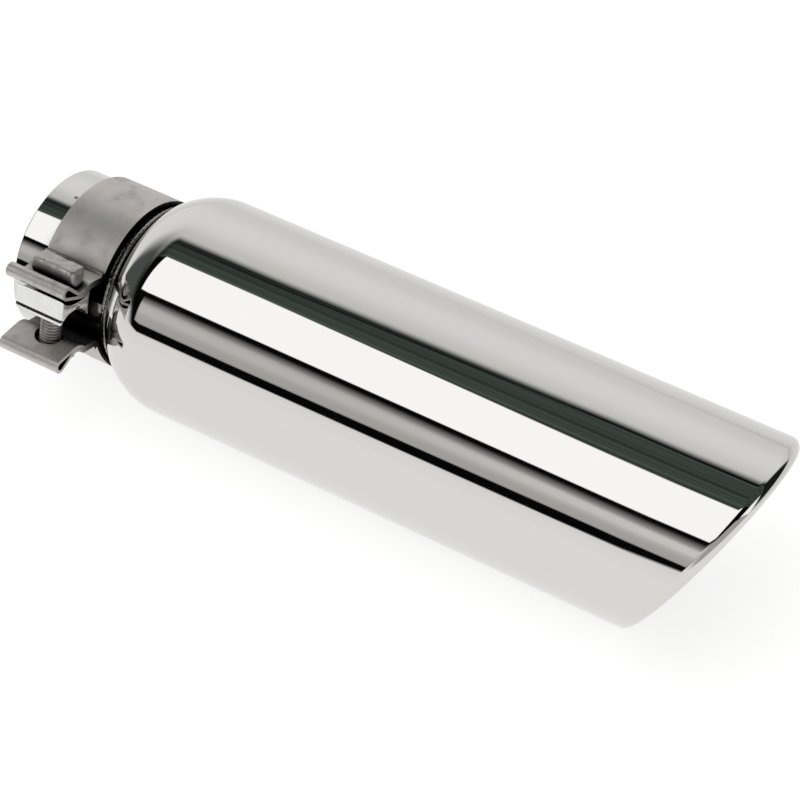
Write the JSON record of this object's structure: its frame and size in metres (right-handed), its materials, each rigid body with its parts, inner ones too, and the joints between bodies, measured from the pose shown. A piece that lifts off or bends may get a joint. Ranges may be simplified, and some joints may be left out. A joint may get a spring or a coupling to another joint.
{
  "type": "exhaust tip",
  "caption": "Polished round exhaust tip with a spun shoulder, a rolled outlet cut at a slant, and a slotted inlet neck held by a folded-strip band clamp with its bolt, spacer and tapped bar.",
  "frame": {"origin": "centre of the inlet neck's open mouth, on the tip's axis: the mount inlet", "axes": "+X along the tip's axis towards the outlet, the longest extent; +Z towards the long side of the slanted outlet; the clamp's ears stand out on the -Y side, turned up by about 21 degrees"},
  "size_m": [0.3729, 0.1181, 0.1016],
  "materials": {
    "polished_shell": "mirror-polished stainless steel",
    "polished_neck": "mirror-polished stainless steel",
    "weld_metal": "bright rippled weld bead",
    "clamp_strip": "satin mill-finish stainless strip",
    "spacer_metal": "light satin steel",
    "bolt_steel": "satin steel",
    "nut_steel": "satin steel"
  },
  "bodies": {
    "root": {"tip_body": "polished_shell", "inlet_neck": "polished_neck", "neck_weld": "weld_metal", "clamp_band": "clamp_strip", "spacer_block": "spacer_metal", "clamp_bolt": "bolt_steel", "clamp_nut": "nut_steel"}
  },
  "joints": []
}
